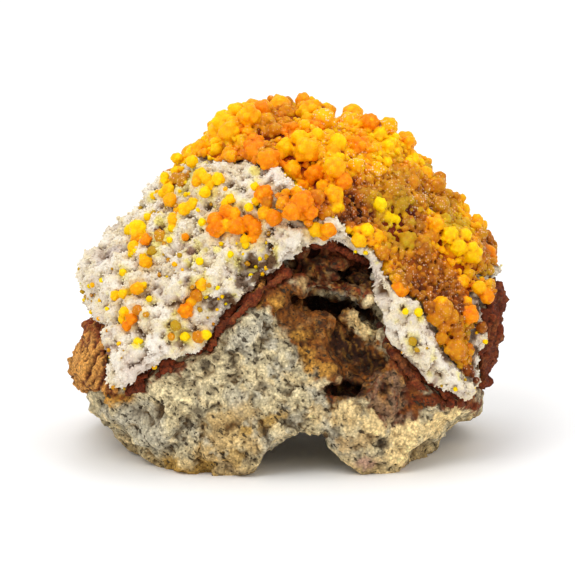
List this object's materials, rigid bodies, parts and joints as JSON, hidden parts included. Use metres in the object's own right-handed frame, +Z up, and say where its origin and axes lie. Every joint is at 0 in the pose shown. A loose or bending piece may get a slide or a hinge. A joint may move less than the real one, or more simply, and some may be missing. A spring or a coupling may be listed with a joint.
{
  "type": "mimetite specimen",
  "caption": "Mineral specimen: lumpy orange mimetite over a white crust and a red-brown oxide seam, on a grey host rock with an arched base and flat feet.",
  "frame": {"origin": "middle of the bounding box's bottom, at the surface that the feet stand on", "axes": "+Z up, -Y towards the broken front face, +X to the right as seen from the front, along the length"},
  "size_m": [0.0616, 0.0478, 0.0495],
  "materials": {
    "host_rock": "rough grey-cream rock with dark specks and pits",
    "iron_oxide": "matt red-brown iron oxide",
    "white_crust": "granular white to lilac-grey crust",
    "mimetite": "waxy yellow to orange globules"
  },
  "bodies": {
    "root": {"host_rock": "host_rock", "iron_oxide_seam": "iron_oxide", "white_crust": "white_crust", "mimetite_cover": "mimetite", "mimetite_left_tip": "mimetite", "mimetite_left_bead": "mimetite", "mimetite_upper_left": "mimetite", "mimetite_shoulder": "mimetite", "mimetite_crown_left": "mimetite", "mimetite_lower_bar": "mimetite", "mimetite_lower_pocket": "mimetite", "mimetite_middle_bead": "mimetite", "mimetite_orange_cluster": "mimetite", "mimetite_orange_peak": "mimetite", "mimetite_edge_bead": "mimetite", "mimetite_seam_bead": "mimetite"}
  },
  "joints": []
}
